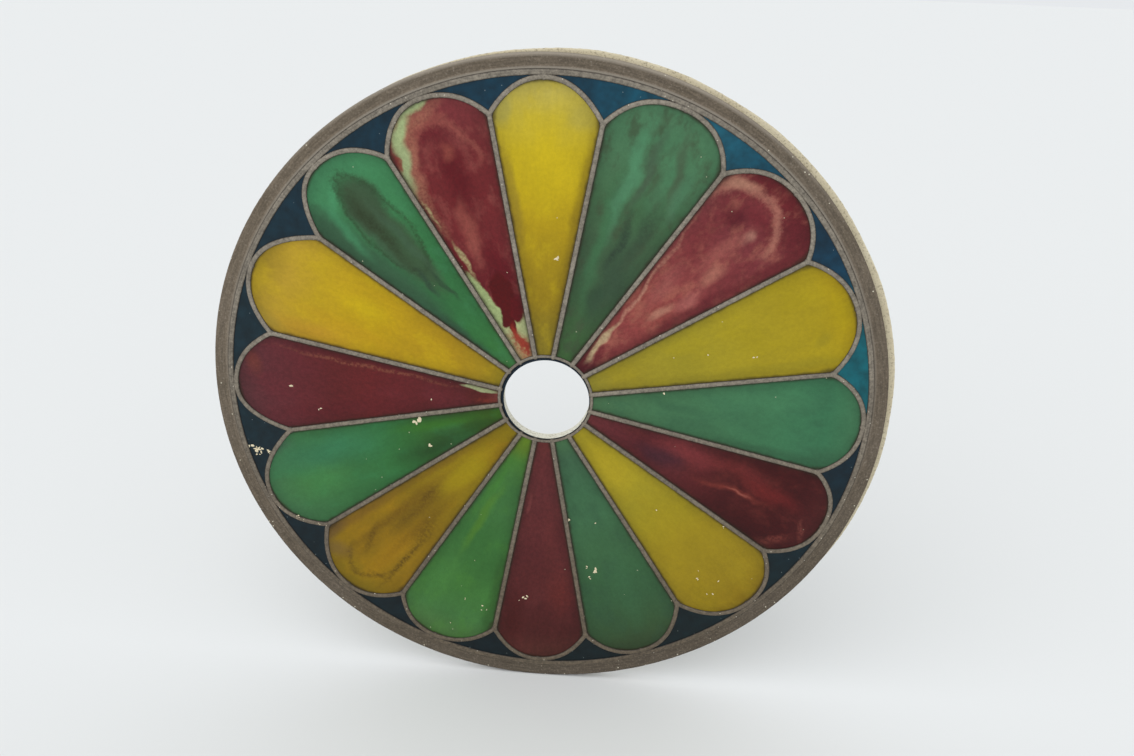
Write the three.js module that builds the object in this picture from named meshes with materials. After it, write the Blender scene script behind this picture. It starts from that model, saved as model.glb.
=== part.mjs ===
// A round stained glass window: a rosette of petal-shaped panes in lead came, held in a flat ring
// frame with a raw back rim, with a lined round hole through its middle. Millimetres.
// The pieces are drawn face up, +Z out of the front, and the whole window then stands up to face -Y.
import * as THREE from 'three';

// Driving dimensions
const sightRadius = 450;
const petalCount = 16;
const bandOuterRadius = 475;
const bandEdgeRound = 1.8;
const rimRadius = 477;
const rimShift = new THREE.Vector2(7.6, 2.5);
const rimBoreRadius = 446;
const hubOuterRadius = 68.4;
const hubInnerRadius = 63.6;
const holeRadius = 61;
const holeShift = new THREE.Vector2(0.8, -0.8);
const cameWidth = 7;
const heartWidth = 1.6;
const glassThickness = 4;
const fitGap = 0.3;

// Heights above the back plane
const rimThickness = 6;
const ledgeFront = 11.3;
const sleeveFront = 17;
const bandFront = 18;
const cameFront = 20;

// How finely the round parts are stepped
const ringSteps = 84;
const hubSteps = 42;
const archSteps = 4;
const borderArcSteps = 3;

// The leads between the petals, clockwise from the top, wander a little from even spacing: how far the
// foot at the hub and the shoulder at the arches are turned (degrees), and how far out the shoulder is.
const leads = [
  { footTurn: -3.0, shoulderTurn: -2.0, shoulderRadius: 395 },
  { footTurn: -0.5, shoulderTurn: -0.2, shoulderRadius: 400 },
  { footTurn: -2.2, shoulderTurn: 0.7, shoulderRadius: 408 },
  { footTurn: 1.2, shoulderTurn: 2.0, shoulderRadius: 400 },
  { footTurn: 1.8, shoulderTurn: 1.3, shoulderRadius: 401 },
  { footTurn: -2.2, shoulderTurn: 0.3, shoulderRadius: 397 },
  { footTurn: 1.3, shoulderTurn: 1.0, shoulderRadius: 387 },
  { footTurn: 1.3, shoulderTurn: 0.8, shoulderRadius: 401 },
  { footTurn: 0.3, shoulderTurn: -1.4, shoulderRadius: 401 },
  { footTurn: -2.5, shoulderTurn: -2.0, shoulderRadius: 402 },
  { footTurn: 1.3, shoulderTurn: -1.5, shoulderRadius: 396 },
  { footTurn: 0.0, shoulderTurn: 0.0, shoulderRadius: 378 },
  { footTurn: -0.9, shoulderTurn: -0.2, shoulderRadius: 397 },
  { footTurn: 3.0, shoulderTurn: 1.2, shoulderRadius: 382 },
  { footTurn: -1.0, shoulderTurn: 0.6, shoulderRadius: 397 },
  { footTurn: -2.7, shoulderTurn: -0.6, shoulderRadius: 404 },
];

// The petals, clockwise from the top: the glass, how full the arch is (0.5 slack to 0.75 very round)
// and how far its tip leans from the petal's middle (degrees).
const petals = [
  { glass: 'yellow', fullness: 0.58, lean: -0.5 },
  { glass: 'green', fullness: 0.72, lean: 0.7 },
  { glass: 'burgundy', fullness: 0.66, lean: 0.2 },
  { glass: 'yellow', fullness: 0.6, lean: 0 },
  { glass: 'green', fullness: 0.68, lean: 0 },
  { glass: 'burgundy', fullness: 0.7, lean: 0 },
  { glass: 'yellow', fullness: 0.7, lean: -0.5 },
  { glass: 'green', fullness: 0.66, lean: 0.5 },
  { glass: 'burgundy', fullness: 0.62, lean: 0.3 },
  { glass: 'green', fullness: 0.66, lean: 0.6 },
  { glass: 'yellow', fullness: 0.6, lean: -1.5 },
  { glass: 'green', fullness: 0.62, lean: -1.5 },
  { glass: 'burgundy', fullness: 0.64, lean: -0.8 },
  { glass: 'yellow', fullness: 0.6, lean: 0 },
  { glass: 'green', fullness: 0.68, lean: -0.8 },
  { glass: 'burgundy', fullness: 0.64, lean: -0.8 },
];

const glassColours = { yellow: 0xb59c22, green: 0x2f7a4c, burgundy: 0x6a2630, navy: 0x15394b };

// Sizes that follow from the ones above
const petalPitch = 360 / petalCount;
const cameBack = ledgeFront + fitGap;
const glassBack = 13.5;
const glassFront = glassBack + glassThickness;
const beadOuterRadius = sightRadius + 5;
const beadInnerRadius = beadOuterRadius - cameWidth - 0.25;
const beadHeartRadius = beadOuterRadius - 3;
const hubHeartRadius = hubInnerRadius + 2;
const archTipRadius = sightRadius - 4.5;
const borderTipGap = 0.6;

// How far each kind of lead edge reaches over the glass from the line that the panes are drawn to.
// The blunt end of a border pane, at a petal's tip, is left bare.
const crestReach = { lead: 1.9, bead: 2.4, hub: 1.3, blunt: 0 };
const flangeReach = {
  lead: cameWidth / 2,
  bead: beadHeartRadius - beadInnerRadius,
  hub: hubOuterRadius - hubHeartRadius,
  blunt: 0,
};
const heartReach = { lead: heartWidth / 2, bead: 0, hub: 0, blunt: 0 };
const glassReach = { lead: heartWidth / 2 + fitGap, bead: fitGap, hub: fitGap, blunt: fitGap };

// The came's section from the front to the back: a bevelled flange, the heart between the panes,
// and the flange behind, with the radii of the lattice's outer and inner edge.
const cameLevels = [
  { height: cameFront, reach: crestReach, outer: beadOuterRadius - 1.4, inner: hubInnerRadius + 1.4 },
  { height: glassFront + fitGap, reach: flangeReach, outer: beadOuterRadius, inner: hubInnerRadius },
  { height: glassFront + fitGap, reach: heartReach },
  { height: glassBack - fitGap, reach: heartReach },
  { height: glassBack - fitGap, reach: flangeReach },
  { height: cameBack, reach: flangeReach, outer: beadOuterRadius, inner: hubInnerRadius },
];

function wrap(index) {
  return (index + petalCount) % petalCount;
}

// A point at a radius, at an angle in degrees clockwise from the top
function polar(radius, degrees) {
  const angle = THREE.MathUtils.degToRad(degrees);
  return new THREE.Vector2(radius * Math.sin(angle), radius * Math.cos(angle));
}

function clockwiseAngle(point) {
  return THREE.MathUtils.radToDeg(Math.atan2(point.x, point.y));
}

// A counterclockwise ring of points; its steps line up with those of every other ring
function circle(radius, steps, centre = new THREE.Vector2()) {
  return Array.from({ length: steps }, (_, step) => polar(radius, (-360 * step) / steps).add(centre));
}

function shoulderAngle(index) {
  return (index + 0.5) * petalPitch + leads[wrap(index)].shoulderTurn;
}

function shoulder(index) {
  return polar(leads[wrap(index)].shoulderRadius, shoulderAngle(index));
}

function leadFoot(index) {
  return polar(hubHeartRadius, (index + 0.5) * petalPitch + leads[wrap(index)].footTurn);
}

// The line of half an arched lead, from a shoulder to the tip of the petal beside it
function halfArch(petalIndex, leadIndex) {
  const petal = petals[wrap(petalIndex)];
  const middle = (shoulderAngle(petalIndex - 1) + shoulderAngle(petalIndex)) / 2;
  const start = shoulder(leadIndex);
  const tip = polar(archTipRadius, middle + petal.lean);
  const across = new THREE.Vector2(tip.y, -tip.x).normalize();
  const halfWidth = start.clone().sub(tip).dot(across);
  const control = tip.clone().addScaledVector(across, halfWidth * petal.fullness);
  return new THREE.QuadraticBezierCurve(start, control, tip);
}

// How far along a half arch its flange runs into the bead's flange, where the border pane ends
function borderEnd(arch) {
  const meetingRadius = beadInnerRadius - borderTipGap - flangeReach.lead;
  let low = 0.3;
  let high = 1;
  for (let step = 0; step < 30; step += 1) {
    const middle = (low + high) / 2;
    if (arch.getPoint(middle).length() < meetingRadius) low = middle;
    else high = middle;
  }
  return low;
}

// The points of a half arch from its shoulder to where the border pane ends
function archPoints(arch) {
  const end = borderEnd(arch);
  return Array.from({ length: archSteps + 1 }, (_, step) => arch.getPoint((end * step) / archSteps));
}

// An outline is a counterclockwise loop of corners, each with the kind of lead on the edge that it starts
function corners(points, kind) {
  return points.map((point) => ({ point, kind }));
}

function petalOutline(index) {
  const rightArch = halfArch(index, index);
  const leftArch = halfArch(index, index - 1);
  const hubMiddle = leadFoot(index - 1).add(leadFoot(index)).setLength(hubHeartRadius);
  return [
    ...corners([leadFoot(index - 1), hubMiddle], 'hub'),
    ...corners([leadFoot(index), ...archPoints(rightArch), rightArch.v2], 'lead'),
    ...corners(archPoints(leftArch).reverse(), 'lead'),
  ];
}

function borderOutline(index) {
  const rightSide = archPoints(halfArch(index + 1, index));
  const leftSide = archPoints(halfArch(index, index)).reverse();
  const rightEnd = rightSide.pop();
  const startAngle = shoulderAngle(index) + turnFrom(shoulder(index), rightEnd);
  const endAngle = shoulderAngle(index) + turnFrom(shoulder(index), leftSide[0]);
  const arcPoints = Array.from({ length: borderArcSteps + 1 }, (_, step) =>
    polar(beadHeartRadius, THREE.MathUtils.lerp(startAngle, endAngle, step / borderArcSteps)),
  );
  const arcEnd = arcPoints.pop();
  return [
    ...corners(rightSide, 'lead'),
    ...corners([rightEnd], 'blunt'),
    ...corners(arcPoints, 'bead'),
    ...corners([arcEnd], 'blunt'),
    ...corners(leftSide.slice(0, -1), 'lead'),
  ];
}

// The clockwise turn about the middle from one point to another, in degrees
function turnFrom(start, end) {
  const turn = clockwiseAngle(end) - clockwiseAngle(start);
  return THREE.MathUtils.euclideanModulo(turn + 180, 360) - 180;
}

// Moves every edge of an outline inwards by the reach of its kind, and returns the new corners
function inset(outline, reach) {
  const edges = outline.map(({ point, kind }, index) => {
    const next = outline[(index + 1) % outline.length].point;
    const along = next.clone().sub(point).normalize();
    const inward = new THREE.Vector2(-along.y, along.x);
    return { start: point.clone().addScaledVector(inward, reach[kind]), along };
  });
  return edges.map((edge, index) => {
    const before = edges[(index + edges.length - 1) % edges.length];
    const between = edge.start.clone().sub(before.start);
    const distance = between.cross(edge.along) / before.along.cross(edge.along);
    return before.start.clone().addScaledVector(before.along, distance);
  });
}

const petalOutlines = petals.map((_, index) => petalOutline(index));
const borderOutlines = petals.map((_, index) => borderOutline(index));

// A triangle mesh that is built up from level loops of points
class Skin {
  constructor() {
    this.positions = [];
    this.faces = [];
  }

  addLoop(points, height) {
    const first = this.positions.length / 3;
    points.forEach((point) => this.positions.push(point.x, point.y, height));
    return points.map((_, index) => first + index);
  }

  // Joins two loops with the same number of points; the wall faces into the loops
  addWall(upper, lower) {
    upper.forEach((corner, index) => {
      const next = (index + 1) % upper.length;
      this.faces.push(corner, upper[next], lower[next]);
      this.faces.push(corner, lower[next], lower[index]);
    });
  }

  // Fills between an outer loop and the holes in it, facing up or down
  addCap(outerLoop, holeLoops, facesUp) {
    const indices = [outerLoop, ...holeLoops].flat();
    const at = (index) => new THREE.Vector2(this.positions[3 * index], this.positions[3 * index + 1]);
    const outerPoints = outerLoop.map(at);
    const holePoints = holeLoops.map((loop) => loop.map(at));
    const points = [outerPoints, ...holePoints].flat();
    THREE.ShapeUtils.triangulateShape(outerPoints, holePoints).forEach((corner) => {
      const area = THREE.ShapeUtils.area(corner.map((index) => points[index]));
      const [a, b, c] = corner.map((index) => indices[index]);
      this.faces.push(...(area > 0 === facesUp ? [a, b, c] : [a, c, b]));
    });
  }

  toGeometry() {
    const geometry = new THREE.BufferGeometry();
    geometry.setAttribute('position', new THREE.Float32BufferAttribute(this.positions, 3));
    geometry.setIndex(this.faces);
    geometry.computeVertexNormals();
    return geometry;
  }
}

// The lead is one soldered lattice: hub ring, petal leads, arches and outer bead
function cameGeometry() {
  const skin = new Skin();
  const openings = [...petalOutlines, ...borderOutlines].map((outline) =>
    cameLevels.map(({ height, reach }) => skin.addLoop(inset(outline, reach), height)),
  );
  openings.forEach((loops) => {
    loops.slice(1).forEach((lower, index) => skin.addWall(loops[index], lower));
  });
  const edgeLevels = cameLevels.filter((level) => level.outer);
  const outerLoops = edgeLevels.map(({ outer, height }) => skin.addLoop(circle(outer, ringSteps), height));
  const innerLoops = edgeLevels.map(({ inner, height }) => skin.addLoop(circle(inner, hubSteps), height));
  edgeLevels.slice(1).forEach((_, index) => {
    skin.addWall([...outerLoops[index]].reverse(), [...outerLoops[index + 1]].reverse());
    skin.addWall(innerLoops[index], innerLoops[index + 1]);
  });
  skin.addCap(outerLoops[0], [innerLoops[0], ...openings.map((loops) => loops[0])], true);
  skin.addCap(outerLoops.at(-1), [innerLoops.at(-1), ...openings.map((loops) => loops.at(-1))], false);
  return skin.toGeometry();
}

function plateGeometry(outer, holes, thickness) {
  const shape = new THREE.Shape(outer);
  shape.holes = holes.map((points) => new THREE.Path(points));
  return new THREE.ExtrudeGeometry(shape, { depth: thickness, bevelEnabled: false });
}

// The band's section, counterclockwise from the inner back corner: the flat face with eased edges
// stands in front of the rebate, whose ledge carries the leaded panel
function bandGeometry() {
  const back = rimThickness + fitGap;
  const boreRadius = beadOuterRadius + fitGap;
  const section = [
    [rimBoreRadius, back],
    [bandOuterRadius, back],
    [bandOuterRadius, bandFront - bandEdgeRound],
    [bandOuterRadius - bandEdgeRound, bandFront],
    [boreRadius, bandFront],
    [boreRadius, ledgeFront],
    [rimBoreRadius, ledgeFront],
    [rimBoreRadius, back],
  ];
  return new THREE.LatheGeometry(section.map(([radius, height]) => new THREE.Vector2(radius, height)), ringSteps);
}

// The back rim's outer edge was trimmed by hand, so its radius waves a little
function rimOutline() {
  return Array.from({ length: ringSteps }, (_, step) => {
    const angle = (-2 * Math.PI * step) / ringSteps;
    const wave = 0.7 * Math.sin(5 * angle + 1) + 0.5 * Math.sin(11 * angle) + 0.3 * Math.sin(23 * angle);
    return new THREE.Vector2(Math.sin(angle), Math.cos(angle)).multiplyScalar(rimRadius + wave).add(rimShift);
  });
}

const frameMaterial = new THREE.MeshStandardMaterial({ color: 0x625848, roughness: 0.85, metalness: 0 });
const leadMaterial = new THREE.MeshStandardMaterial({ color: 0x7a7068, roughness: 0.7, metalness: 0.2 });
const creamMaterial = new THREE.MeshStandardMaterial({ color: 0xcfc69c, roughness: 0.9, metalness: 0 });
const glassMaterials = Object.fromEntries(
  Object.entries(glassColours).map(([name, color]) => [
    name,
    new THREE.MeshStandardMaterial({ color, roughness: 0.3, metalness: 0 }),
  ]),
);

const stainedGlassWindow = new THREE.Group();
stainedGlassWindow.rotation.x = Math.PI / 2;

function addPiece(name, geometry, material, height = 0) {
  const piece = new THREE.Mesh(geometry, material);
  piece.name = name;
  piece.position.z = height;
  stainedGlassWindow.add(piece);
  return piece;
}

const band = addPiece('frame_band', bandGeometry(), frameMaterial);
band.rotation.x = Math.PI / 2;
addPiece('back_rim', plateGeometry(rimOutline(), [circle(rimBoreRadius, ringSteps)], rimThickness), creamMaterial);
addPiece('came_lattice', cameGeometry(), leadMaterial);
addPiece(
  'centre_sleeve',
  plateGeometry(circle(hubInnerRadius - fitGap, hubSteps), [circle(holeRadius, hubSteps, holeShift)], sleeveFront),
  creamMaterial,
);

function addPane(name, outline, glass) {
  addPiece(name, plateGeometry(inset(outline, glassReach), [], glassThickness), glassMaterials[glass], glassBack);
}

petals.forEach(({ glass }, index) => {
  const number = String(index + 1).padStart(2, '0');
  addPane(`petal_${number}_${glass}`, petalOutlines[index], glass);
  addPane(`border_${number}`, borderOutlines[index], 'navy');
});

export default stainedGlassWindow;
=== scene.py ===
"""A round stained glass window, 0.96 m across: a rosette of sixteen petal panes and sixteen dark blue
border panes in lead came, held in a flat ring frame on a raw cream back rim, with a lined round hole
through the middle. Metres, +Z up, the front faces -Y and the origin is at the middle of the back."""

import math
import random

import bmesh
import bpy
from mathutils import Matrix, Quaternion, Vector, noise


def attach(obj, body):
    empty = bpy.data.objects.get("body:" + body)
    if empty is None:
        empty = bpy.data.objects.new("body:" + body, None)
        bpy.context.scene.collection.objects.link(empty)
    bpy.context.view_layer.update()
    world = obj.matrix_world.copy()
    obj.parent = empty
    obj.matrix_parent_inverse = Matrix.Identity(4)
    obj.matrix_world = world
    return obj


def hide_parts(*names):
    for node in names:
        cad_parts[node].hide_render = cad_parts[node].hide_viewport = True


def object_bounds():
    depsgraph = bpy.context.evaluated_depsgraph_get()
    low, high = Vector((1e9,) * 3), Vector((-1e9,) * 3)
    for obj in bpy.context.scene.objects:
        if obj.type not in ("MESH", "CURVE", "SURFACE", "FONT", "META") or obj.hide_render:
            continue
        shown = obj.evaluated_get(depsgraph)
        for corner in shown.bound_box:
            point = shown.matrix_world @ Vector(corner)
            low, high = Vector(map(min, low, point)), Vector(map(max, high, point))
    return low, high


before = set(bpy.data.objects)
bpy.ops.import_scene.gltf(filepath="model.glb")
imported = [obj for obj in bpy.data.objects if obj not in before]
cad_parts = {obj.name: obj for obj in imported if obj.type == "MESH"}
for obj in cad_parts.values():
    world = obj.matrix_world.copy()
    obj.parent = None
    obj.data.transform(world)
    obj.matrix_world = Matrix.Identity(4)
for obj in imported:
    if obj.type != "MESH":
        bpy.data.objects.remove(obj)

cad_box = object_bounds()
MM = 0.001


# --- The place: a plain pale floor under an even pale sky and one broad soft light from overhead, seen
# --- from a little right of the front and from above. The window stands on its lowest edge.

FLOOR_HALF = 14.0
FLOOR_GAP = 0.5 * MM


def linear(hex_colour):
    """An sRGB hex colour as the linear RGBA that a shader socket takes."""
    channels = [int(hex_colour[start:start + 2], 16) / 255 for start in (1, 3, 5)]
    return [c / 12.92 if c <= 0.04045 else ((c + 0.055) / 1.055) ** 2.4 for c in channels] + [1.0]


def adder(tree):
    """The function that adds a node to a tree. A kind in capitals is the operation of a Math node, and
    one without its family is a shader node. Words that start small are settings. What feeds the node
    comes in the order of its sockets in use, or by a socket's name: a value, a hex colour, an output,
    or a node, which stands for its first output in use."""

    def add(kind, *fed, **named):
        if kind.isupper():
            kind, named = "Math", {**named, "operation": kind}
        node = tree.nodes.new(kind if "Node" in kind else "ShaderNode" + kind)
        for name, value in named.items():
            if name[0].islower():
                setattr(node, name, value)
        feeds = list(zip([socket for socket in node.inputs if socket.enabled], fed))
        feeds += [(node.inputs[name.replace("_", " ")], named[name]) for name in named if name[0].isupper()]
        for socket, value in feeds:
            if isinstance(value, str) and value.startswith("#"):
                value = linear(value)
            elif isinstance(value, bpy.types.Node):
                value = next(output for output in value.outputs if output.enabled)
            if isinstance(value, bpy.types.NodeSocket):
                tree.links.new(value, socket)
            else:
                socket.default_value = value
        return node

    return add


def bare_material(name):
    """A new material with nothing in it yet, and the function that adds nodes to it."""
    material = bpy.data.materials.new(name)
    material.use_nodes = True
    material.node_tree.nodes.clear()
    return material, adder(material.node_tree)


def finished(material, add, colour, height=None, strength=0.5, depth=0.0, **constants):
    """Ends a material in one Principled shader, whose height, if it has one, is drawn as a bump."""
    if height is not None:
        constants["Normal"] = add("Bump", Height=height, Strength=strength, Distance=depth)
    shader = add("BsdfPrincipled", Base_Color=colour, **constants)
    add("OutputMaterial", Surface=shader)
    return material


def put(name, data):
    """Puts an object in the scene."""
    thing = bpy.data.objects.new(name, data)
    bpy.context.scene.collection.objects.link(thing)
    return thing


def lay_floor():
    mesh = bpy.data.meshes.new("floor")
    height = cad_box[0][2] - FLOOR_GAP
    corners = [(FLOOR_HALF * x, FLOOR_HALF * y, height) for x, y in ((-1, -1), (1, -1), (1, 1), (-1, 1))]
    mesh.from_pydata(corners, [], [(0, 1, 2, 3)])
    # Matt painted concrete: pale, even and without gloss
    material, add = bare_material("pale_floor_paint")
    finished(material, add, "#E3E4E3", Roughness=0.9, Specular_IOR_Level=0.2)
    mesh.materials.append(material)
    floor = put("floor", mesh)


def set_camera():
    place = Vector((0.118, -1.4816, 0.6625))
    aim = Vector((0.0296, -0.019, 0.0353))
    roll = math.radians(2.13)
    camera = bpy.data.cameras.new("camera")
    camera.lens = 36.18
    camera.sensor_width = 36
    holder = put("camera", camera)
    holder.location = place
    looking = (aim - place).to_track_quat("-Z", "Y") @ Quaternion((0, 0, 1), roll)
    holder.rotation_euler = looking.to_euler()
    bpy.context.scene.camera = holder


def light_room():
    world = bpy.data.worlds.new("soft_room")
    world.use_nodes = True
    background = world.node_tree.nodes["Background"]
    background.inputs["Color"].default_value = linear("#F4F7FA")
    background.inputs["Strength"].default_value = 0.88
    bpy.context.scene.world = world
    sun = bpy.data.lights.new("soft_overhead", "SUN")
    sun.energy = 1.18
    sun.angle = math.radians(70)
    falling = Vector((0.35, 0.8, -1.0))
    put("soft_overhead", sun).rotation_euler = falling.to_track_quat("-Z", "Y").to_euler()
    bpy.context.scene.view_settings.view_transform = "Standard"


lay_floor()
set_camera()
light_room()


# --- The lead: H-section came laid by hand round every pane and soldered where the runs meet. Its
# --- face is a narrow rounded bead with a hammered grain, weathered to a warm grey. A wider bead with
# --- two ridges runs round the panel, and a narrow one round the hole.

PETAL_COUNT = 16
PETAL_PITCH = 360 / PETAL_COUNT

# Clockwise from the top: how far a lead's foot at the hub and its shoulder at the arches are turned
# from even spacing (degrees), and how far out the shoulder is (mm)
LEADS = [
    (-3.0, -2.0, 395), (-0.5, -0.2, 400), (-2.2, 0.7, 408), (1.2, 2.0, 400),
    (1.8, 1.3, 401), (-2.2, 0.3, 397), (1.3, 1.0, 387), (1.3, 0.8, 401),
    (0.3, -1.4, 401), (-2.5, -2.0, 402), (1.3, -1.5, 396), (0.0, 0.0, 378),
    (-0.9, -0.2, 397), (3.0, 1.2, 382), (-1.0, 0.6, 397), (-2.7, -0.6, 404),
]
# How round each petal's arch is, and how far its tip leans (degrees)
ARCHES = [
    (0.58, -0.5), (0.72, 0.7), (0.66, 0.2), (0.6, 0), (0.68, 0), (0.7, 0), (0.7, -0.5), (0.66, 0.5),
    (0.62, 0.3), (0.66, 0.6), (0.6, -1.5), (0.62, -1.5), (0.64, -0.8), (0.6, 0), (0.68, -0.8), (0.64, -0.8),
]
HUB_LINE = 65.6
BEAD_LINE = 451.7
ARCH_TIP = 445.5
ARCH_STEPS = 14
RING_STEPS = 240
FACE_FULLNESS = 0.62
BACK_FULLNESS = 0.35
GROOVE_SHARE = 0.13
SOLDER_SPREAD = 0.72
HEART_WIDTH = 1.6 * MM
HEART_BITE = 0.3 * MM
BACK_STEP = 6 * MM


def polar(radius, degrees):
    """A point in the window's plane, at an angle clockwise from the top: (across, up)."""
    angle = math.radians(degrees)
    return Vector((radius * math.sin(angle), radius * math.cos(angle)))


def shoulder_angle(index):
    return (index + 0.5) * PETAL_PITCH + LEADS[index % PETAL_COUNT][1]


def shoulder(index):
    return polar(LEADS[index % PETAL_COUNT][2], shoulder_angle(index))


def lead_foot(index):
    return polar(HUB_LINE, (index + 0.5) * PETAL_PITCH + LEADS[index % PETAL_COUNT][0])


def petal_middle(petal):
    """The angle of a petal's middle line, half way between its shoulders."""
    return (shoulder_angle(petal - 1) + shoulder_angle(petal)) / 2


def petal_tip(petal):
    return polar(ARCH_TIP, petal_middle(petal) + ARCHES[petal][1])


def half_arch(petal, lead):
    """Points along half an arch, from a shoulder to the tip of the petal beside it."""
    start, tip = shoulder(lead), petal_tip(petal)
    across = Vector((tip.y, -tip.x)).normalized()
    control = tip + across * (start - tip).dot(across) * ARCHES[petal][0]
    return [
        start * (1 - t) ** 2 + control * 2 * t * (1 - t) + tip * t ** 2
        for t in (step / ARCH_STEPS for step in range(ARCH_STEPS + 1))
    ]


def ring_line(radius):
    points = [polar(radius, -360 * step / RING_STEPS) for step in range(RING_STEPS)]
    return [*points, points[0]]


def wire(name, runs, joints=()):
    """A wire mesh in the window's plane, in metres, for came to be laid along. A run whose last point
    is its first closes on itself, and joints are (point, solder size) where runs are soldered."""
    shape = bmesh.new()
    size = shape.verts.layers.float.new("solder")
    found = {}

    def corner(point):
        key = (round(point.x, 3), round(point.y, 3))
        if key not in found:
            found[key] = shape.verts.new((point.x * MM, point.y * MM, 0))
        return found[key]

    for run in runs:
        for start, end in zip(run, run[1:]):
            shape.edges.new((corner(start), corner(end)))
    for point, solder in joints:
        corner(point)[size] = solder
    mesh = bpy.data.meshes.new(name)
    shape.to_mesh(mesh)
    shape.free()
    return put(name, mesh)


def came_tree():
    """Lays came along the lines of a wire mesh: the front bead with its grain, the heart between the
    panes, the flange behind, and a drop of solder on each joint."""
    tree = bpy.data.node_groups.new("lay_came", "GeometryNodeTree")
    tree.interface.new_socket("Lines", in_out="INPUT", socket_type="NodeSocketGeometry")
    numbers = {
        "Width": 7 * MM, "Crest": 19.75 * MM, "Flange": 17.8 * MM, "Groove": 0.0, "Step": 1.8 * MM,
        "Back": 11.7 * MM, "Back flange": 13.2 * MM, "Grain": 0.3 * MM, "Ribs": 0.1 * MM,
        "Rib pitch": 3.4 * MM, "Face points": 9, "Seed": 1,
    }
    for name, value in numbers.items():
        kind = "NodeSocketInt" if isinstance(value, int) else "NodeSocketFloat"
        tree.interface.new_socket(name, in_out="INPUT", socket_type=kind).default_value = value
    tree.interface.new_socket("Lead", in_out="INPUT", socket_type="NodeSocketMaterial")
    tree.interface.new_socket("Came", in_out="OUTPUT", socket_type="NodeSocketGeometry")
    add = adder(tree)
    given = add("NodeGroupInput").outputs

    def section(points, base, rise, fullness, groove=0.0):
        """A closed section: a crowned face over a flat underside, squarer the smaller its fullness is.
        Heights run down its Y axis."""
        line = add("GeometryNodeMeshLine", Count=points, Offset=(0, 0, 0))
        part = add("DIVIDE", add("GeometryNodeInputIndex"), add("SUBTRACT", points, 1))
        turn = add("MULTIPLY", part, math.pi)
        across = add("MULTIPLY", add("COSINE", turn), add("MULTIPLY", given["Width"], -0.5))
        crown = add("MULTIPLY", add("POWER", add("MAXIMUM", add("SINE", turn), 0.0), fullness), rise)
        off_middle = add("DIVIDE", add("ABSOLUTE", add("SUBTRACT", part, 0.5)), GROOVE_SHARE)
        dip = add("MULTIPLY", add("MAXIMUM", add("SUBTRACT", 1.0, off_middle), 0.0), groove)
        place = add("CombineXYZ", across, add("SUBTRACT", dip, add("ADD", base, crown)))
        moved = add("GeometryNodeSetPosition", line, Position=place)
        return add("GeometryNodeSetSplineCyclic", add("GeometryNodeMeshToCurve", moved), Cyclic=True)

    def run_of(step):
        """The lines as curves with even steps, level with the panel."""
        curves = add("GeometryNodeMeshToCurve", given["Lines"])
        even = add("GeometryNodeResampleCurve", curves, Length=step, mode="LENGTH")
        return add("GeometryNodeSetCurveNormal", even, mode="Z_UP")

    # The front bead, and the drops of solder on the joints
    measured = add("GeometryNodeCaptureAttribute", domain="POINT")
    measured.capture_items.new("FLOAT", "Along")
    tree.links.new(run_of(given["Step"]).outputs[0], measured.inputs[0])
    tree.links.new(add("GeometryNodeSplineParameter").outputs["Length"], measured.inputs[1])
    rise = add("SUBTRACT", given["Crest"], given["Flange"])
    face = section(given["Face points"], given["Flange"], rise, FACE_FULLNESS, given["Groove"])
    bead = add("GeometryNodeCurveToMesh", measured, face, Fill_Caps=True)
    size = add("GeometryNodeInputNamedAttribute", "solder", data_type="FLOAT")
    width = add("MULTIPLY", size, add("MULTIPLY", given["Width"], SOLDER_SPREAD))
    drops = add(
        "GeometryNodeInstanceOnPoints", given["Lines"],
        Selection=add("FunctionNodeCompare", size, 0.01, data_type="FLOAT", operation="GREATER_THAN"),
        Instance=add("GeometryNodeMeshIcoSphere", 1.0, 3),
        Scale=add("CombineXYZ", width, width, add("MULTIPLY", rise, 1.05)),
    )
    raised = add(
        "GeometryNodeSetPosition", add("GeometryNodeRealizeInstances", drops),
        Offset=add("CombineXYZ", Z=given["Flange"]),
    )
    front = add("GeometryNodeJoinGeometry", bead)
    tree.links.new(raised.outputs[0], front.inputs[0])

    # The grain: shallow hammer marks all over the face, and faint ribs across it in patches
    place = add("GeometryNodeInputPosition")
    seeded = {"W": given["Seed"], "noise_dimensions": "4D"}
    marks = add("TexNoise", place, Scale=1 / (5.2 * MM), Detail=2.0, Roughness=0.6, **seeded)
    patches = add("TexNoise", place, Scale=1 / (48 * MM), Detail=1.0, **seeded)
    ribbed = add("MULTIPLY", add("MAXIMUM", add("SUBTRACT", patches, 0.42), 0.0), 5.0)
    turns = add("DIVIDE", measured.outputs[1], given["Rib pitch"])
    wave = add("SINE", add("MULTIPLY", turns, math.tau))
    ribs = add("MULTIPLY", add("MULTIPLY", wave, ribbed), given["Ribs"])
    hammered = add("MULTIPLY", add("SUBTRACT", marks, 0.5), add("MULTIPLY", given["Grain"], 2.0))
    shift = add(
        "VectorMath", add("GeometryNodeInputNormal"), add("ADD", hammered, ribs), operation="SCALE"
    )
    on_face = add(
        "FunctionNodeCompare", add("SeparateXYZ", place).outputs["Z"],
        add("ADD", given["Flange"], 0.1 * MM), data_type="FLOAT", operation="GREATER_THAN",
    )
    grained = add("GeometryNodeSetPosition", front, on_face, Offset=shift)

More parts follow.
